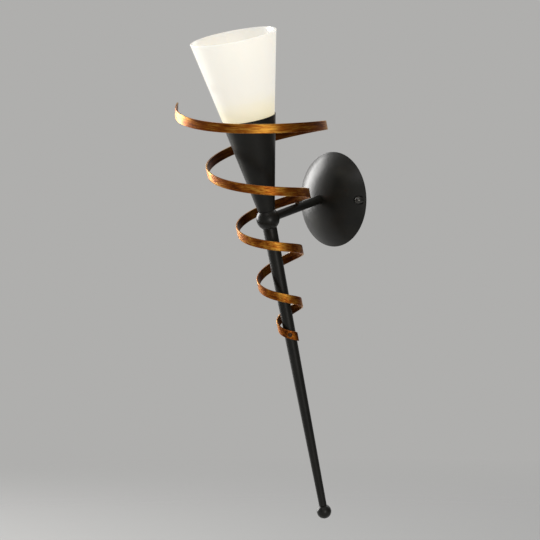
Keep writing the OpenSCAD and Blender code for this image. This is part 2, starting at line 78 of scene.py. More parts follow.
# Gives the point at height z on a cone's side, or as far inside it as inset says
def coneSide(foot, mouth):
    slope = (mouth[0] - foot[0]) / (mouth[1] - foot[1])

    def sideAt(z, inset=0):
        return foot[0] + slope * (z - foot[1]) - inset, z

    return sideAt


# Draws the profile (radius, height) one vertex at a time and spins it round Z
def turned(name, profile, steps=128):
    deselect()
    bpy.ops.mesh.primitive_plane_add(size=mm)
    piece = bpy.context.object
    piece.name = name
    piece.data.name = name
    bpy.ops.object.mode_set(mode="EDIT")
    bpy.ops.mesh.select_mode(type="VERT")
    bpy.ops.mesh.select_all(action="SELECT")
    bpy.ops.mesh.merge(type="CENTER")
    here = profile[0]
    bpy.ops.transform.translate(value=(here[0] * mm, 0, here[1] * mm))
    for point in profile[1:]:
        step = ((point[0] - here[0]) * mm, 0, (point[1] - here[1]) * mm)
        bpy.ops.mesh.extrude_vertices_move(TRANSFORM_OT_translate={"value": step})
        here = point
    bpy.ops.mesh.select_all(action="SELECT")
    bpy.ops.mesh.spin(steps=steps, angle=2 * math.pi, center=(0, 0, 0), axis=(0, 0, 1))
    bpy.ops.mesh.select_all(action="SELECT")
    bpy.ops.mesh.remove_doubles(threshold=weldDistance)
    bpy.ops.mesh.delete_loose(use_verts=True, use_edges=True)
    bpy.ops.mesh.select_all(action="SELECT")
    bpy.ops.mesh.normals_make_consistent(inside=False)
    bpy.ops.object.mode_set(mode="OBJECT")
    return piece


def applyModifier(piece, kind, **settings):
    pick(piece)
    modifier = piece.modifiers.new(kind.lower(), kind)
    for key, value in settings.items():
        setattr(modifier, key, value)
    bpy.ops.object.modifier_apply(modifier=modifier.name)


def smooth(piece, angle):
    pick(piece)
    bpy.ops.object.shade_smooth_by_angle(angle=math.radians(angle))


# Puts the piece in its place and leaves its object unturned at the origin
def settle(piece, turn=(0, 0, 0), place=(0, 0, 0)):
    pick(piece)
    piece.rotation_euler = turn
    piece.location = place
    bpy.ops.object.transform_apply(location=True, rotation=True, scale=True)


def onTorch(piece):
    settle(piece, (leanAngle, 0, 0), ballPlace)


# Faces keep the material index that they were given
def finishPiece(piece, body, materials, replaced):
    indices = [polygon.material_index for polygon in piece.data.polygons]
    piece.data.materials.clear()
    for material in materials:
        piece.data.materials.append(material)
    piece.data.polygons.foreach_set("material_index", indices)
    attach(piece, body)
    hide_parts(*replaced)


def newMaterial(name, **sockets):
    material = bpy.data.materials.new(name)
    material.use_nodes = True
    shader = material.node_tree.nodes["Principled BSDF"]
    for key, value in sockets.items():
        shader.inputs[key.replace("_", " ")].default_value = value
    return material, material.node_tree, shader


def addNode(tree, kind, inputs=None, **settings):
    node = tree.nodes.new(kind)
    for key, value in settings.items():
        setattr(node, key, value)
    for key, value in (inputs or {}).items():
        if isinstance(value, bpy.types.NodeSocket):
            tree.links.new(value, node.inputs[key])
        else:
            node.inputs[key].default_value = value
    return node


def maths(tree, operation, *values):
    node = addNode(tree, "ShaderNodeMath", dict(enumerate(values)), operation=operation)
    return node.outputs[0]


def feed(tree, shader, **outputs):
    for key, value in outputs.items():
        tree.links.new(value, shader.inputs[key.replace("_", " ")])


def objectCoords(tree, turn=(0, 0, 0)):
    coords = addNode(tree, "ShaderNodeTexCoord")
    mapping = addNode(tree, "ShaderNodeMapping",
                      {"Vector": coords.outputs["Object"], "Rotation": turn})
    return mapping.outputs["Vector"]


def noise(tree, vector, scale, detail, roughness):
    node = addNode(tree, "ShaderNodeTexNoise", {
        "Vector": vector, "Scale": scale, "Detail": detail, "Roughness": roughness})
    return node.outputs["Fac"]


def ramp(tree, factor, stops):
    node = addNode(tree, "ShaderNodeValToRGB", {"Fac": factor})
    elements = node.color_ramp.elements
    while len(elements) < len(stops):
        elements.new(0.5)
    for element, (place, colour) in zip(elements, stops):
        element.position = place
        element.color = (*colour, 1)
    return node.outputs["Color"]


def span(tree, value, low, high, fromLow=0.3, fromHigh=0.7):
    node = addNode(tree, "ShaderNodeMapRange", {
        "Value": value, "From Min": fromLow, "From Max": fromHigh, "To Min": low, "To Max": high})
    return node.outputs["Result"]


def mixColour(tree, factor, first, second, blend="MIX"):
    node = addNode(tree, "ShaderNodeMix", data_type="RGBA", blend_type=blend)
    for key, value in (("Factor", factor), ("A", first), ("B", second)):
        socket = [s for s in node.inputs if s.name == key and s.enabled][0]
        if isinstance(value, bpy.types.NodeSocket):
            tree.links.new(value, socket)
        else:
            socket.default_value = value if key == "Factor" else (*value, 1)
    return [s for s in node.outputs if s.enabled][0]


def bump(tree, shader, height, strength, distance, normal=None):
    inputs = {"Height": height, "Strength": strength, "Distance": distance}
    if normal is not None:
        inputs["Normal"] = normal
    node = addNode(tree, "ShaderNodeBump", inputs)
    feed(tree, shader, Normal=node.outputs["Normal"])
    return node.outputs["Normal"]


# Noise: scale, detail, roughness. Bump: strength, distance.
ironLook = {
    "ior": 1.43,
    "dark": (0.0046, 0.0043, 0.0032),
    "light": (0.0108, 0.0098, 0.0060),
    "tones": [(0.3, "dark"), (0.72, "light")],
    "cloud": (48, 5, 0.6),
    "grain": (1500, 2, 0.5),
    "waves": (130, 3, 0.5),
    "roughness": (0.32, 0.40),
    "grainBump": (0.16, 0.00010),
    "wavesBump": (0.10, 0.0004),
}


def makeIron():
    material, tree, shader = newMaterial("blackWaxedIron", IOR=ironLook["ior"])
    coords = objectCoords(tree)
    cloud = noise(tree, coords, *ironLook["cloud"])
    grain = noise(tree, coords, *ironLook["grain"])
    waves = noise(tree, coords, *ironLook["waves"])
    feed(tree, shader,
         Base_Color=ramp(tree, cloud, [(at, ironLook[key]) for at, key in ironLook["tones"]]),
         Roughness=span(tree, cloud, *ironLook["roughness"]))
    first = bump(tree, shader, grain, *ironLook["grainBump"])
    bump(tree, shader, waves, *ironLook["wavesBump"], first)
    return material


brazedLook = {
    "metallic": 0.7,
    "tones": [(0.3, (0.020, 0.012, 0.007)), (0.7, (0.12, 0.055, 0.018))],
    "cloud": (420, 4, 0.6),
    "roughness": (0.55, 0.38),
    "bump": (0.4, 0.0003),
}


def makeBrazed():
    material, tree, shader = newMaterial("brazedJoint", Metallic=brazedLook["metallic"])
    cloud = noise(tree, objectCoords(tree), *brazedLook["cloud"])
    feed(tree, shader,
         Base_Color=ramp(tree, cloud, brazedLook["tones"]),
         Roughness=span(tree, cloud, *brazedLook["roughness"]))
    bump(tree, shader, cloud, *brazedLook["bump"])
    return material


# Parts inside and small screws: two colours, roughness, metal or not, grain size, bump strength
plainFinishes = {
    "blackNickel": ((0.085, 0.083, 0.077), (0.13, 0.127, 0.118), (0.26, 0.32), 1.0, 300, 0.03),
    "zincSteel": ((0.42, 0.42, 0.40), (0.60, 0.60, 0.57), (0.28, 0.42), 1.0, 240, 0.10),
    "turnedBrass": ((0.52, 0.34, 0.11), (0.78, 0.56, 0.24), (0.24, 0.38), 1.0, 300, 0.08),
    "nickelCap": ((0.56, 0.55, 0.52), (0.72, 0.71, 0.68), (0.20, 0.32), 1.0, 200, 0.06),
    "darkResin": ((0.018, 0.018, 0.019), (0.036, 0.036, 0.038), (0.42, 0.56), 0.0, 500, 0.12),
    "ivoryResin": ((0.70, 0.67, 0.58), (0.80, 0.78, 0.71), (0.38, 0.5), 0.0, 160, 0.06),
    "blackGlass": ((0.012, 0.010, 0.010), (0.03, 0.026, 0.026), (0.12, 0.2), 0.0, 200, 0.04),
    "feltRing": ((0.05, 0.05, 0.052), (0.11, 0.11, 0.115), (0.85, 0.95), 0.0, 1400, 0.7),
    "brownWire": ((0.15, 0.055, 0.02), (0.20, 0.075, 0.028), (0.34, 0.44), 0.0, 300, 0.05),
    "blueWire": ((0.02, 0.10, 0.34), (0.03, 0.14, 0.42), (0.34, 0.44), 0.0, 300, 0.05),
}
plainLook = {"tones": (0.3, 0.7), "cloud": (4, 0.6), "finer": 5, "grain": (2, 0.5), "bump": 0.0001}


def makePlain(name):
    dark, light, roughness, metallic, scale, strength = plainFinishes[name]
    material, tree, shader = newMaterial(name, Metallic=metallic)
    coords = objectCoords(tree)
    cloud = noise(tree, coords, scale, *plainLook["cloud"])
    grain = noise(tree, coords, scale * plainLook["finer"], *plainLook["grain"])
    feed(tree, shader,
         Base_Color=ramp(tree, cloud, list(zip(plainLook["tones"], (dark, light)))),
         Roughness=span(tree, cloud, *roughness))
    bump(tree, shader, grain, strength, plainLook["bump"])
    return material


earthWireLook = {
    "stripes": {"Scale": 160, "Distortion": 0.6},
    "tones": [(0.42, (0.03, 0.20, 0.04)), (0.5, (0.72, 0.62, 0.03))],
    "roughness": 0.4,
}


def makeEarthWire():
    material, tree, shader = newMaterial("greenYellowWire", Roughness=earthWireLook["roughness"])
    stripes = addNode(tree, "ShaderNodeTexWave",
                      {"Vector": objectCoords(tree), **earthWireLook["stripes"]},
                      bands_direction="DIAGONAL")
    feed(tree, shader, Base_Color=ramp(tree, stripes.outputs["Fac"], earthWireLook["tones"]))
    return material


iron = makeIron()
brazed = makeBrazed()
plain = {name: makePlain(name) for name in plainFinishes}
earthWire = makeEarthWire()
print("shared materials made")


# A shallow dome with two seats for its screws. The rim is given inwards and upwards.
canopy = {
    "radius": 59, "height": 25, "sheet": 1.2, "hole": 4.15,
    "rim": [(0.22, 0.32), (0.1, 0.14), (0.08, 0)], "rimStart": 0.5,
    "innerEdge": 0.02, "innerStart": 0.2,
    "screwX": 52.278, "seatFloor": 2.8, "seatR": 5.4, "seatTop": 20,
    "shankR": 2.3, "shankEnds": (0.5, 4), "shankSides": 48,
    "bossEnds": (1.6, 16), "bossDepth": 0.5, "bossReach": 1.2, "bossFoot": 0.4,
    "outerSteps": 60, "innerSteps": 36, "sides": 256, "weld": 0.005, "smoothAngle": 40,
}


def cylinderAt(x, radius, low, high, sides=96):
    deselect()
    bpy.ops.mesh.primitive_cylinder_add(vertices=sides, radius=radius * mm, depth=(high - low) * mm)
    cylinder = bpy.context.object
    settle(cylinder, place=(x * mm, 0, (low + high) / 2 * mm))
    return cylinder


def joinBy(piece, other, operation):
    applyModifier(piece, "BOOLEAN", object=other, operation=operation, solver="EXACT")
    bpy.data.objects.remove(other)


def makeCanopy():
    r, h = canopy["radius"], canopy["height"]
    sphere = (r * r + h * h) / (2 * h)
    drop = sphere - h

    def shell(depth, first, last, steps):
        ball = sphere - depth
        radii = [d for d, _ in between((first, 0), (last, 0), steps)]
        return [(d, math.sqrt(ball * ball - d * d) - drop) for d in radii]

    inside = math.sqrt((sphere - canopy["sheet"]) ** 2 - drop ** 2) - canopy["innerEdge"]
    profile = shell(0, canopy["hole"], r - canopy["rimStart"], canopy["outerSteps"])
    profile += [(r - inwards, up) for inwards, up in canopy["rim"]] + [(inside, 0)]
    profile += shell(canopy["sheet"], inside - canopy["innerStart"], canopy["hole"],
                     canopy["innerSteps"])
    piece = turned("canopyDome", profile + profile[:1], canopy["sides"])
    depth = canopy["bossDepth"]
    for side in (-1, 1):
        x = side * canopy["screwX"]
        boss = cylinderAt(x, canopy["seatR"] + canopy["sheet"], *canopy["bossEnds"])
        limit = shell(depth, 0, r - canopy["bossReach"], canopy["outerSteps"])
        limit += [(0, canopy["bossFoot"]), (0, h - depth)]
        joinBy(boss, turned("domeLimit", limit), "INTERSECT")
        joinBy(piece, boss, "UNION")
        seat = cylinderAt(x, canopy["seatR"], canopy["seatFloor"], canopy["seatTop"])
        joinBy(piece, seat, "DIFFERENCE")
        shank = cylinderAt(x, canopy["shankR"], *canopy["shankEnds"], canopy["shankSides"])
        joinBy(piece, shank, "DIFFERENCE")
    pick(piece)
    bpy.ops.object.mode_set(mode="EDIT")
    bpy.ops.mesh.select_all(action="SELECT")
    bpy.ops.mesh.remove_doubles(threshold=canopy["weld"] * mm)
    bpy.ops.mesh.normals_make_consistent(inside=False)
    bpy.ops.object.mode_set(mode="OBJECT")
    smooth(piece, canopy["smoothAngle"])
    settle(piece, (math.radians(90), 0, 0))
    finishPiece(piece, "sconce", [iron], ["canopy"])


makeCanopy()
print("canopy made")


cup = {
    "mouthR": 33.3, "mouthZ": 127, "footR": 10.5, "footZ": 11.2, "wall": 0.9,
    "footRound": 1.6, "footArc": (-75, -8, 5), "lipArc": (0, 180, 6),
    "floorZ": 16.5, "floor": 5.5, "corner": 0.6, "cornerZ": 17,
    "sideStart": 0.6, "sideTop": 125, "sideLow": 18, "sideSteps": 12, "smoothAngle": 38,
}


def makeCup():
    sideAt = coneSide((cup["footR"], cup["footZ"]), (cup["mouthR"], cup["mouthZ"]))
    half, wall, bend, steps = cup["wall"] / 2, cup["wall"], cup["footRound"], cup["sideSteps"]
    footX = cup["footR"] - bend
    profile = [(torch["rodR"], cup["floorZ"] - cup["floor"]), (footX, cup["footZ"] - bend)]
    profile += arc((footX, cup["footZ"]), bend, *cup["footArc"])
    profile += between(sideAt(cup["footZ"] + cup["sideStart"]), sideAt(cup["sideTop"]), steps)
    profile += arc((cup["mouthR"] - half, cup["mouthZ"] - half), half, *cup["lipArc"])
    profile += between(sideAt(cup["sideTop"], wall), sideAt(cup["sideLow"], wall), steps)
    cornerR = sideAt(cup["cornerZ"], wall)[0] - cup["corner"]
    profile += [(cornerR, cup["floorZ"]), (torch["rodR"], cup["floorZ"]), profile[0]]
    piece = turned("torchCup", profile)
    smooth(piece, cup["smoothAngle"])
    onTorch(piece)
    finishPiece(piece, "sconce", [iron], ["torch_cup"])


makeCup()
print("cup made")


# Heights are measured down from the middle of the ball
handle = {
    "topR": 8.7, "tipR": 4.75, "top": 9, "finialMiddle": 379, "finialR": 9, "wall": 1.4,
    "studR": 3, "crown": 1, "boreTop": 26, "shoulder": 1.1, "shoulderArc": (90, 0, 6),
    "sideStart": 1, "tipStart": 0.5, "tipRound": 0.4, "sideSteps": 24, "sides": 96,
    "smoothAngle": 38,
}


def makeHandle():
    top, s, stud = handle["top"], handle["shoulder"], handle["studR"]
    end = handle["finialMiddle"] - math.sqrt(handle["finialR"] ** 2 - handle["tipR"] ** 2)
    sideAt = coneSide((handle["topR"], -top), (handle["tipR"], -end))
    profile = [(stud, -top - handle["crown"])]
    profile += arc((handle["topR"] - s, -top - s), s, *handle["shoulderArc"])
    profile += between(sideAt(-top - s - handle["sideStart"]), sideAt(-end + handle["tipStart"]),
                       handle["sideSteps"])
    profile += [(handle["tipR"] - handle[key], -end) for key in ("tipRound", "wall")]
    profile += [sideAt(-handle["boreTop"], handle["wall"]), (stud, -handle["boreTop"]), profile[0]]
    piece = turned("handleTube", profile, handle["sides"])
    smooth(piece, handle["smoothAngle"])
    onTorch(piece)
    finishPiece(piece, "sconce", [iron], ["handle"])


makeHandle()
print("handle made")


glass = {
    "neckR": 32.05, "mouthR": 53, "neckZ": 127, "seatZ": 104, "topZ": 228, "wall": 3,
    "footRound": 0.8, "footArc": (-90, 0, 4), "innerFoot": [(0.1, 0.6), (0.8, 0)],
    "lipArc": (10, 170, 8), "sideStart": 2, "footEnd": 1, "sideSteps": 30, "sides": 160,
    "smoothAngle": 50,
}

# Each side has its tones and the strength of its painted glow, which stands in for the lit bulb's
# light through the glass. The climb is a height in metres.
glassLook = {
    "low": (0.80, 0.76, 0.58),
    "high": (0.83, 0.81, 0.73),
    "inner": (0.80, 0.785, 0.74),
    "paintedGlowLow": (1.0, 0.86, 0.52),
    "paintedGlowHigh": (1.0, 0.955, 0.87),
    "outside": ([(0.05, "low"), (0.45, "high"), (1.0, "high")], 0.44),
    "inside": ([(0.0, "high"), (0.9, "inner")], 0.26),
    "paintedGlow": [(0.0, "paintedGlowLow"), (0.4, "paintedGlowHigh")],
    "climb": 0.10,
    "cloud": (38, 3, 0.5),
    "cloudShare": 0.16,
    "seeds": (260, 2, 0.5),
    "bump": (0.05, 0.0004),
}


def makeOpal(name, side):
    tones, strength = glassLook[side]
    # The emission is a painted glow standing in for the bulb's light through the opal glass; it is
    # warmer towards the neck
    material, tree, shader = newMaterial(
        name, Roughness=0.22, IOR=1.5, Coat_Weight=0.25, Coat_Roughness=0.12,
        Subsurface_Weight=0.35, Subsurface_Radius=(0.012, 0.010, 0.008), Subsurface_Scale=1.0,
        Emission_Strength=strength)
    upward = objectCoords(tree, (-leanAngle, 0, 0))
    height = addNode(tree, "ShaderNodeSeparateXYZ", {"Vector": upward}).outputs["Z"]
    ballHeight = ballPlace.y * math.sin(-leanAngle) + ballPlace.z * math.cos(leanAngle)
    lowest = ballHeight + glass["neckZ"] * mm
    climb = span(tree, height, 0.0, 1.0, lowest, lowest + glassLook["climb"])
    cloud = noise(tree, objectCoords(tree), *glassLook["cloud"])
    mottled = maths(tree, "MULTIPLY_ADD", cloud, glassLook["cloudShare"], climb)
    base, paintedGlow = [ramp(tree, mottled, [(at, glassLook[key]) for at, key in stops])
                  for stops in (tones, glassLook["paintedGlow"])]
    feed(tree, shader, Base_Color=base, Emission_Color=paintedGlow)
    bump(tree, shader, noise(tree, objectCoords(tree), *glassLook["seeds"]), *glassLook["bump"])
    return material


def makeGlass():
    sideAt = coneSide((glass["neckR"], glass["neckZ"]), (glass["mouthR"], glass["topZ"]))
    wall, edge, steps = glass["wall"], glass["footRound"], glass["sideSteps"]
    half, low, high = wall / 2, glass["seatZ"], glass["topZ"]
    first, last = low + glass["sideStart"], high - glass["sideStart"]
    profile = arc((sideAt(low)[0] - edge, low + edge), edge, *glass["footArc"])
    profile += between(sideAt(first), sideAt(last), steps)
    profile += arc((sideAt(high)[0] - half, high - half), half, *glass["lipArc"])
    profile += between(sideAt(last, wall), sideAt(first, wall), steps)
    profile += [(sideAt(low, wall)[0] + across, low + up) for across, up in glass["innerFoot"]]
    piece = turned("glassCone", profile + profile[:1], glass["sides"])
    smooth(piece, glass["smoothAngle"])
    for polygon in piece.data.polygons:
        outward = polygon.normal.xy.dot(polygon.center.xy)
        atFoot = polygon.center.z < (low + glass["footEnd"]) * mm
        polygon.material_index = 0 if outward > 0 or atFoot else 1
    onTorch(piece)
    sides = [makeOpal("opalGlassOuter", "outside"), makeOpal("opalGlassInner", "inside")]
    finishPiece(piece, "shade", sides, ["glass_shade"])


makeGlass()
print("glass made")


# The widths are shares of the radius at the shares of the height
bulb = {
    "radius": 17.5, "low": 108.5, "top": 190, "wall": 1,
    "shares": [0, 0.05, 0.10, 0.16, 0.25, 0.34, 0.43, 0.52, 0.61, 0.70, 0.78, 0.85, 0.91,
               0.96, 0.99],
    "widths": [0.45, 0.47, 0.56, 0.71, 0.88, 0.97, 1.0, 0.975, 0.89, 0.755, 0.595, 0.44, 0.30,
               0.185, 0.10],
    "sides": 64, "smoothAngle": 60,
}

bulbLook = {
    "frost": (900, 3, 0.6),
    "tones": [(0.3, (0.86, 0.84, 0.78)), (0.7, (0.93, 0.92, 0.88))],
    "bump": (0.08, 0.0001),
}


def makeBulbGlass():
    material, tree, shader = newMaterial(
        "frostedBulb", Roughness=0.35, Subsurface_Weight=0.4,
        Subsurface_Radius=(0.008, 0.007, 0.006), Emission_Color=(1.0, 0.88, 0.66, 1),
        Emission_Strength=0.3)
    frost = noise(tree, objectCoords(tree), *bulbLook["frost"])
    feed(tree, shader, Base_Color=ramp(tree, frost, bulbLook["tones"]))
    bump(tree, shader, frost, *bulbLook["bump"])
    return material


def makeBulb():
    low, top, wall = bulb["low"], bulb["top"], bulb["wall"]
    outer = [(bulb["radius"] * width, low + (top - low) * share)
             for share, width in zip(bulb["shares"], bulb["widths"])] + [(0, top)]
    inner = [(max(0.0, x - wall), z if z < top else z - wall) for x, z in reversed(outer)]
    piece = turned("candleBulb", outer + inner + outer[:1], bulb["sides"])
    applyModifier(piece, "SUBSURF", levels=1, render_levels=1)
    smooth(piece, bulb["smoothAngle"])
    onTorch(piece)
    finishPiece(piece, "bulb", [makeBulbGlass()], ["bulb_glass"])


makeBulb()
print("bulb made")


# At every half turn: radii as shares of the reach, falls as shares of the drop, and flares
ribbon = {
    "reach": 90.5, "drop": 300.5, "top": 147, "lead": 0.035, "turns": 4.43, "start": -145.1,
    "lean": 3.25, "armR": 5.4, "overArm": 1.2,
    "radii": [0.92, 1, 0.68, 0.61, 0.436, 0.376, 0.298, 0.232, 0.14, 0.122],
    "falls": [-0.002, 0.141, 0.265, 0.408, 0.524, 0.637, 0.755, 0.855, 0.942, 1],
    "flares": [2.6, 0.1, 0, 0, 0, 0, 0, 0, 0, 0], "flareFrom": 0.7,
    "waver": 0.12, "waves": [(1, 11.3, 0), (0.6, 23.9, 1.7)],
    "width": 11.4, "thick": 1.8, "edgeRound": 0.35, "edgeAngle": 50, "smoothAngle": 50,
    "stepsPerTurn": 72, "across": 6,
}

# Length and width are the strip's, in metres. Each noise has its stretch, detail and roughness.
copperLook = {
    "length": 1.4,
    "width": 0.0114,
    "gold": (0.65, 0.31, 0.042),
    "brown": (0.39, 0.108, 0.008),
    "rust": (0.22, 0.052, 0.005),
    "dark": (0.065, 0.018, 0.003),
    "wearAndSheen": (0.84, 0.66, 0.42),
    "tones": [(0.32, "dark"), (0.40, "rust"), (0.48, "brown"), (0.60, "gold")],
    "streak": ((110, 820, 1), 4, 0.60),
    "patch": ((52, 150, 1), 4, 0.6),
    "brush": ((160, 2600, 1), 2, 0.5),
    "spots": ((420, 900, 1), 3, 0.7),
    "streakShare": 0.45,
    "patchShare": 0.55,
    "paintedSheenBandsPerTurn": 4,
    "paintedSheenAngle": 33,
    "paintedSheenAndShade": (-0.045, 0.035, -0.7, 0.9),
    "tailDarkening": (0.0, 0.075, 0.91, 0.97),
    "pitted": (0.8, 0.0, 0.30, 0.42),
    "ragged": 0.04,
    "wearAndSheenFrom": (0.492, 0.512),
    "brushBump": (0.20, 0.00007),
    "patchBump": (0.28, 0.0003),
    "coat": 0.08,
    "coatRoughness": 0.35,
}


# Outer side, inner side and edges: painted shading (painted shade on the inner side; on the edges a
# lightening that is partly worn bare copper and partly a painted highlight), how pale the rims are
# worn and painted highlit, roughness
copperSides = {
    "antiqueCopperOuter": ((1.0, 1.0, 1.0), 0.6, (0.36, 0.50)),
    "antiqueCopperInnerPaintedShade": ((0.42, 0.38, 0.42), 0.6, (0.32, 0.5)),
    "antiqueCopperEdgeWornAndHighlit": ((1.3, 1.6, 2.8), 0, (0.28, 0.4)),
}


# A hand-brushed strip: cloudy patches, streaks along it, dark pits, pale rims that are partly worn
# bare copper and partly a painted highlight, and painted highlight bands four times in each turn,
# one of them at the front, with painted shade between them. The riveted end is darker.
def makeCopper(name, shade, wearAndSheenEdge, roughness):
    material, tree, shader = newMaterial(
        name, Metallic=1.0, Coat_Weight=copperLook["coat"],
        Coat_Roughness=copperLook["coatRoughness"])
    uv = addNode(tree, "ShaderNodeUVMap", uv_map="strip").outputs["UV"]
    metres = addNode(tree, "ShaderNodeMapping", {
        "Vector": uv, "Scale": (copperLook["length"], copperLook["width"], 1)}).outputs["Vector"]

    def stretched(kind):
        stretch, detail, rough = copperLook[kind]
        mapping = addNode(tree, "ShaderNodeMapping", {"Vector": metres, "Scale": stretch})
        return noise(tree, mapping.outputs["Vector"], 1, detail, rough)

    streak, brush = stretched("streak"), stretched("brush")
    patch, spots = stretched("patch"), stretched("spots")
    axes = addNode(tree, "ShaderNodeSeparateXYZ", {"Vector": uv}).outputs
    # Bands of painted highlight and painted shade set by the angle round the torch, four to a turn,
    # one highlight at the front
    count = copperLook["paintedSheenBandsPerTurn"]
    wound = count * 2 * math.pi * ribbon["turns"]
    front = count * math.radians(ribbon["start"] + copperLook["paintedSheenAngle"])
    paintedSheenAndShade = maths(tree, "COSINE", maths(tree, "MULTIPLY_ADD", axes["X"], wound, front))
    paintedSheenAndShade = span(tree, paintedSheenAndShade, *copperLook["paintedSheenAndShade"])
    # Darker towards the riveted end of the strip
    tailDarkening = span(tree, axes["X"], *copperLook["tailDarkening"])
    tone = maths(tree, "SUBTRACT", paintedSheenAndShade, tailDarkening)
    tone = maths(tree, "MULTIPLY_ADD", streak, copperLook["streakShare"], tone)
    tone = maths(tree, "MULTIPLY_ADD", patch, copperLook["patchShare"], tone)
    colour = ramp(tree, tone, [(at, copperLook[key]) for at, key in copperLook["tones"]])
    pits = span(tree, spots, *copperLook["pitted"])
    colour = mixColour(tree, pits, colour, copperLook["dark"])
    # Multiplies in the painted shading: painted shade on the inner side, paler edges that are
    # partly worn copper and partly a painted highlight
    colour = mixColour(tree, 1.0, colour, shade, "MULTIPLY")
    # Pale rims along both edges: partly worn bare copper, partly a painted highlight
    if wearAndSheenEdge:
        aside = maths(tree, "ABSOLUTE", maths(tree, "SUBTRACT", axes["Y"], 0.5))
        ragged = maths(tree, "MULTIPLY_ADD", spots, copperLook["ragged"], aside)
        wearAndSheen = span(tree, ragged, 0.0, wearAndSheenEdge, *copperLook["wearAndSheenFrom"])
        colour = mixColour(tree, wearAndSheen, colour, copperLook["wearAndSheen"])
    feed(tree, shader, Base_Color=colour, Roughness=span(tree, streak, *reversed(roughness)))
    first = bump(tree, shader, brush, *copperLook["brushBump"])
    bump(tree, shader, patch, *copperLook["patchBump"], first)
    return material


# A smooth curve through values that are one step apart
def curveThrough(values, x):
    last = len(values) - 1
    i = max(0, min(last - 1, math.floor(x)))
    t = x - i
    b, c = values[i], values[i + 1]
    a = values[i - 1] if i > 0 else 2 * values[0] - values[1]
    d = values[i + 2] if i + 2 <= last else 2 * values[last] - values[last - 1]
    square, cube = 2 * a - 5 * b + 4 * c - d, 3 * b - a - 3 * c + d
    return 0.5 * (2 * b + (c - a) * t + square * t * t + cube * t ** 3)


def ribbonCurve(key, turn):
    return curveThrough(ribbon[key], 2 * (turn - ribbon["lead"]))


def ribbonR(turn):
    return ribbon["reach"] * ribbonCurve("radii", turn)


def ribbonAngle(turn):
    return math.radians(ribbon["start"] + 360 * turn)


def ribbonFall(turn):
    height = ribbon["top"] - ribbon["drop"] * ribbonCurve("falls", turn)
    slant = math.tan(math.radians(ribbon["lean"])) * math.sin(ribbonAngle(turn))
    return height - ribbonR(turn) * slant


armTurn = (90 - ribbon["start"]) / 360 + 1  # where the second turn crosses the arm
ribbonLift = ribbon["armR"] + ribbon["overArm"] + ribbon["width"] / 2 - ribbonFall(armTurn)


def makeRibbon():
    materials = [makeCopper(name, *look) for name, look in copperSides.items()]
    deselect()
    bpy.ops.mesh.primitive_grid_add(x_subdivisions=round(ribbon["turns"] * ribbon["stepsPerTurn"]),
                                    y_subdivisions=ribbon["across"], size=1)
    piece = bpy.context.object
    piece.name = "ribbonStrip"
    piece.data.name = "ribbonStrip"
    piece.data.uv_layers[0].name = "strip"
    for vertex in piece.data.vertices:
        turn = (vertex.co.x + 0.5) * ribbon["turns"]
        across = vertex.co.y
        angle = ribbonAngle(turn)
        waver = sum(share * math.sin(turn * rate + shift) for share, rate, shift in ribbon["waves"])
        flare = ribbonCurve("flares", turn) * (ribbon["flareFrom"] - across)
        radius = ribbonR(turn) + ribbon["waver"] * waver + flare
        height = ribbonFall(turn) + ribbonLift + across * ribbon["width"]
        vertex.co = Vector((radius * math.cos(angle), radius * math.sin(angle), height)) * mm
    for material in materials:
        piece.data.materials.append(material)
    applyModifier(piece, "SOLIDIFY", thickness=ribbon["thick"] * mm, offset=0,
                  use_even_offset=True, material_offset=1, material_offset_rim=2)
    applyModifier(piece, "BEVEL", width=ribbon["edgeRound"] * mm, segments=3,
                  limit_method="ANGLE", angle_limit=math.radians(ribbon["edgeAngle"]))
    smooth(piece, ribbon["smoothAngle"])
    onTorch(piece)
    finishPiece(piece, "sconce", materials, ["ribbon"])


makeRibbon()
print("ribbon made")


nodeFinishes = {
    "iron": ["arm_tube", "ball", "finial"],
    "blackNickel": ["canopy_screw_left", "canopy_screw_right"],
    "brazed": ["ribbon_braze", "ribbon_spacer", "ribbon_rivet"],
    "zincSteel": ["wall_bracket", "terminal_screws", "arm_washer", "arm_lock_washer", "arm_rod",
                  "torch_rod", "cup_washer", "handle_stud", "tip_plug", "finial_stud", "bulb_tip"],
    "turnedBrass": ["earth_screw", "earth_tag", "arm_nut", "cup_nut", "lampholder_shell",
                    "lampholder_contact"],
    "nickelCap": ["bulb_cap"],
    "darkResin": ["lampholder_base", "lampholder_body"],
    "ivoryResin": ["terminal_block", "arm_bush"],
    "blackGlass": ["bulb_insulator"],
    "feltRing": ["glass_seat"],
    "brownWire": ["wire_live"],
    "blueWire": ["wire_neutral"],
    "earthWire": ["wire_earth"],
}
finishes = {"iron": iron, "brazed": brazed, "earthWire": earthWire, **plain}
for finishName, members in nodeFinishes.items():
    for member in members:
        slots = nodes[member].data.materials
        for slotIndex in range(len(slots)):
            slots[slotIndex] = finishes[finishName]
print("CAD nodes finished")


# A floor that clears away towards its edge (metres), and a backdrop of the same colour. The metal
# and glass see it darker to the right of the view and a little dimmer in front on the left.
stage = {
    "floorZ": -0.62, "floorSize": 60, "clear": (0.9, 2.6), "roughness": 0.9,
    "colour": (0.43, 0.427, 0.418), "shade": 0.24, "dim": 0.62,
    "right": (0.677, 0.736, 0), "front": (0.736, -0.677, 0),
    "rightRange": (0.35, 0.95), "leftRange": (-0.6, -0.1), "frontRange": (-0.35, 0.1),
    "ambient": 0.45, "ambientColour": (0.95, 0.97, 1.0),
}


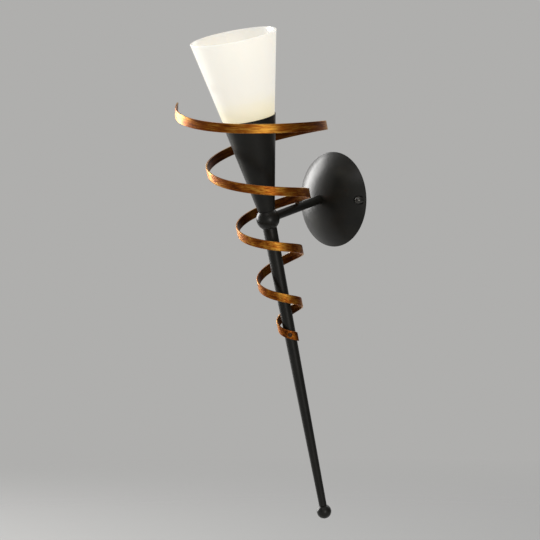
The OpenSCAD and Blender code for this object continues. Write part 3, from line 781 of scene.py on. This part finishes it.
def makeFloor():
    deselect()
    bpy.ops.mesh.primitive_plane_add(size=stage["floorSize"], location=(0, 0, stage["floorZ"]))
    floor = bpy.context.object
    floor.name = "floor"
    material, tree, shader = newMaterial("paleFloor", Roughness=stage["roughness"],
                                         Base_Color=(*stage["colour"], 1))
    reach = addNode(tree, "ShaderNodeVectorMath", {0: objectCoords(tree)}, operation="LENGTH")
    fade = span(tree, reach.outputs["Value"], 0.0, 1.0, *stage["clear"])
    clear = addNode(tree, "ShaderNodeBsdfTransparent").outputs[0]
    mixed = addNode(tree, "ShaderNodeMixShader", {0: fade, 1: shader.outputs[0], 2: clear})
    tree.links.new(mixed.outputs[0], tree.nodes["Material Output"].inputs["Surface"])
    floor.data.materials.append(material)


def makeWorld():
    world = bpy.data.worlds.new("studio")
    bpy.context.scene.world = world
    world.use_nodes = True
    tree = world.node_tree
    ray = addNode(tree, "ShaderNodeLightPath").outputs
    heading = addNode(tree, "ShaderNodeTexCoord").outputs["Generated"]
    colour = stage["colour"]
    shaded, dim = [tuple(c * stage[key] for c in colour) for key in ("shade", "dim")]
    right, front = [
        addNode(tree, "ShaderNodeVectorMath", {0: heading, 1: stage[key]},
                operation="DOT_PRODUCT").outputs["Value"]
        for key in ("right", "front")
    ]
    backdrop = mixColour(tree, span(tree, right, 0.0, 1.0, *stage["rightRange"]), colour, shaded)
    frontLeft = maths(tree, "MULTIPLY", span(tree, right, 1.0, 0.0, *stage["leftRange"]),
                      span(tree, front, 0.0, 1.0, *stage["frontRange"]))
    backdrop = mixColour(tree, frontLeft, backdrop, dim)
    backdrop = mixColour(tree, ray["Is Camera Ray"], backdrop, colour)
    seen = addNode(tree, "ShaderNodeBackground", {"Color": backdrop, "Strength": 1.0})
    ambient = tree.nodes["Background"]
    ambient.inputs["Color"].default_value = (*stage["ambientColour"], 1)
    ambient.inputs["Strength"].default_value = stage["ambient"]
    sharp = maths(tree, "ADD", ray["Is Glossy Ray"], ray["Is Transmission Ray"])
    direct = addNode(tree, "ShaderNodeMath", {0: ray["Is Camera Ray"], 1: sharp},
                     operation="ADD", use_clamp=True)
    choose = addNode(tree, "ShaderNodeMixShader", {
        0: direct.outputs[0], 1: ambient.outputs[0], 2: seen.outputs[0]})
    tree.links.new(choose.outputs[0], tree.nodes["World Output"].inputs["Surface"])


# Each lamp: place, what it looks at, size, watts, colour
lamps = {
    "windowLeft": ((-2.6, -0.35, 0.62), (0, -0.06, 0.03), (1.4, 2.1), 90, (1.0, 0.99, 0.975)),
    "softRight": ((2.27, -1.03, -0.34), (0, -0.1, -0.05), (0.8, 0.5), 8, (1.0, 0.965, 0.91)),
    "softFront": ((1.2, -2.2, 2.3), (0, -0.1, 0.0), (1.6, 1.2), 7, (1.0, 0.985, 0.96)),
    "lowBounce": ((-2.2, -0.9, -1.1), (0, -0.06, -0.03), (1.2, 0.6), 2, (0.95, 0.92, 0.72)),
    "softBack": ((-0.4, 2.6, 1.6), (0, -0.1, 0.0), (1.6, 1.2), 9, (1.0, 1.0, 1.0)),
}


def makeLamps():
    for name, (place, target, size, watts, colour) in lamps.items():
        data = bpy.data.lights.new(name, "AREA")
        data.shape = "RECTANGLE"
        data.size, data.size_y = size
        data.energy = watts
        data.color = colour
        lamp = bpy.data.objects.new(name, data)
        bpy.context.scene.collection.objects.link(lamp)
        lamp.location = place
        aim = Vector(target) - Vector(place)
        lamp.rotation_euler = aim.to_track_quat("-Z", "Y").to_euler()


# Angles in degrees, distances in metres; the focal length and the ball's place in pixels
view = {
    "azimuth": 47.4, "elevation": 2.8, "distance": 3.5, "focal": 2871.75, "frame": 540,
    "ballAt": (268.04, 218.83), "sensor": 36, "clipEnd": 100,
}


def makeCamera():
    a, e = math.radians(view["azimuth"]), math.radians(view["elevation"])
    right = Vector((math.cos(a), math.sin(a), 0))
    back = Vector((math.sin(a) * math.cos(e), -math.cos(a) * math.cos(e), math.sin(e)))
    up = back.cross(right)
    offX = (view["ballAt"][0] - view["frame"] / 2) / view["focal"] * view["distance"]
    offY = (view["frame"] / 2 - view["ballAt"][1]) / view["focal"] * view["distance"]
    place = ballPlace + back * view["distance"] - right * offX - up * offY
    data = bpy.data.cameras.new("camera")
    data.sensor_width = view["sensor"]
    data.lens = view["sensor"] * view["focal"] / view["frame"]
    data.clip_end = view["clipEnd"]
    camera = bpy.data.objects.new("camera", data)
    bpy.context.scene.collection.objects.link(camera)
    turn = Matrix((right, up, back)).transposed()
    camera.matrix_world = Matrix.Translation(place) @ turn.to_4x4()
    bpy.context.scene.camera = camera


makeFloor()
makeWorld()
makeLamps()
makeCamera()
bpy.context.scene.view_settings.view_transform = "Standard"
print("stage, light and camera made")
